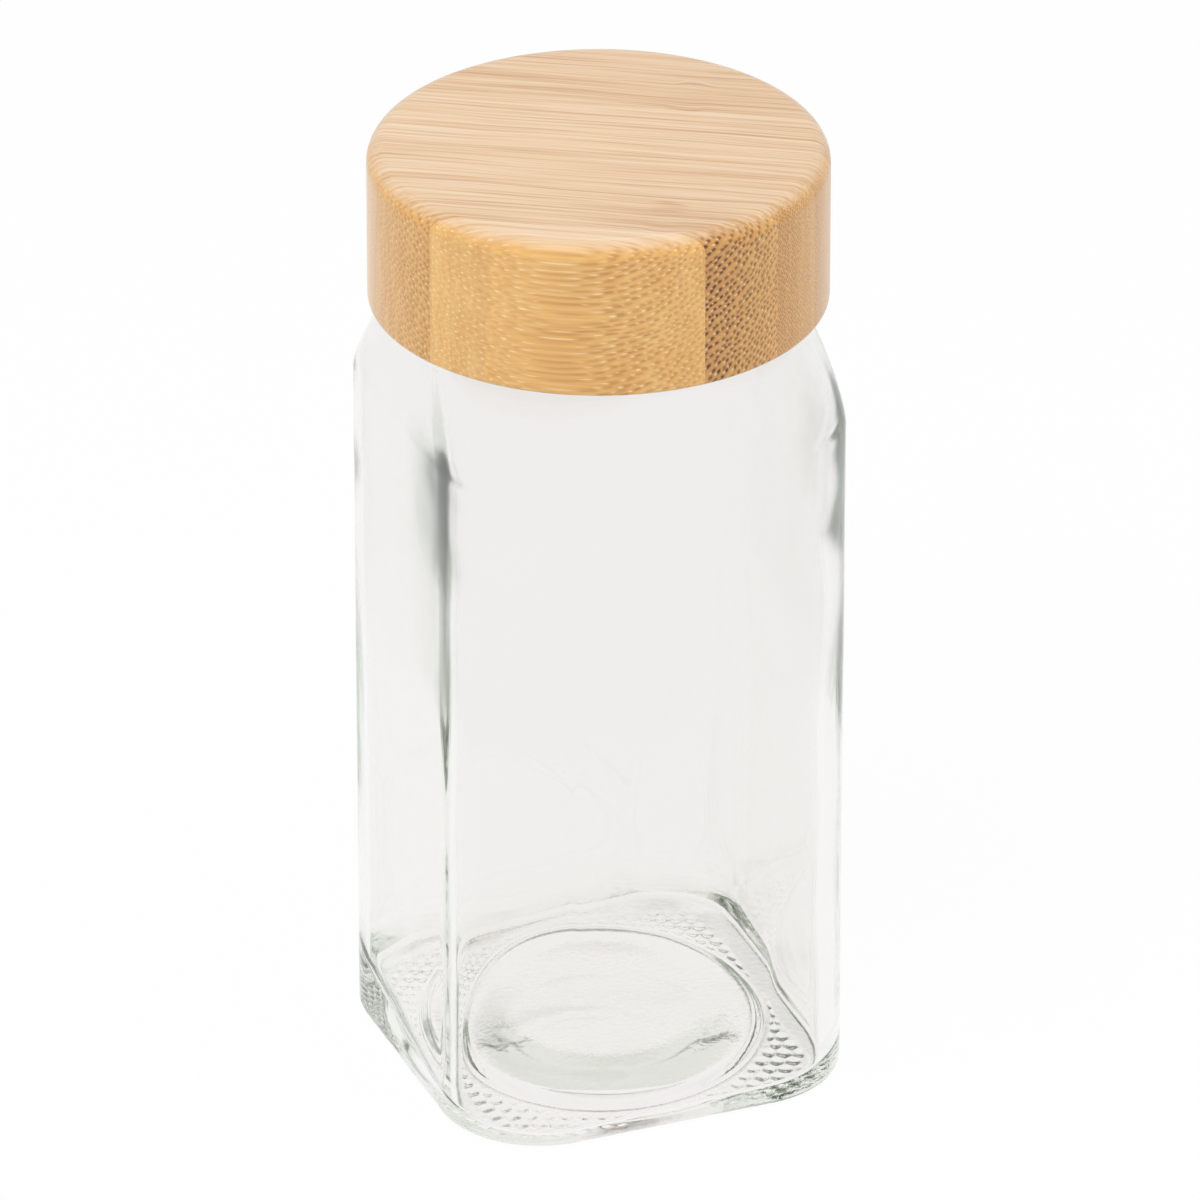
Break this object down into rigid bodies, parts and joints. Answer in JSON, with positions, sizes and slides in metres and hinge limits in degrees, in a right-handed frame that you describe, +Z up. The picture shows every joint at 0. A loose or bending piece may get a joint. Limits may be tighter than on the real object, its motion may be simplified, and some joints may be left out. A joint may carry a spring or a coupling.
{
  "type": "spice jar",
  "caption": "Square glass spice jar with rounded corners, a domed shoulder and a round bamboo screw lid over a shaker insert.",
  "frame": {"origin": "centre of the jar's footprint, on the surface that it stands on", "axes": "+Z up along the jar's axis; X and Y square to the flat glass sides"},
  "size_m": [0.0472, 0.0472, 0.1039],
  "materials": {
    "clear_glass": "clear pressed glass, fire polished",
    "white_polypropylene": "satin moulded",
    "soft_gasket": "matt, soft",
    "laminated_bamboo": "turned and sanded, thin satin lacquer"
  },
  "bodies": {
    "jar": {"glass_jar": "clear_glass", "shaker_insert": "white_polypropylene"},
    "seal": {"gasket": "soft_gasket"},
    "lid": {"bamboo_lid": "laminated_bamboo", "thread_insert": "white_polypropylene"}
  },
  "joints": [
    {"name": "lid_lift", "type": "slide", "parent": "jar", "child": "seal", "axis": [0, 0, 1], "range_m": [0, 0.0254]},
    {"name": "lid_turn", "type": "hinge", "parent": "seal", "child": "lid", "pos_m": [0, 0, 0.0985], "axis": [0, 0, 1], "range_deg": [0, 2160]}
  ],
  "couplings": [
    {"joint": "lid_lift", "follows": "lid_turn", "m_per_rad": 0.0006737}
  ]
}
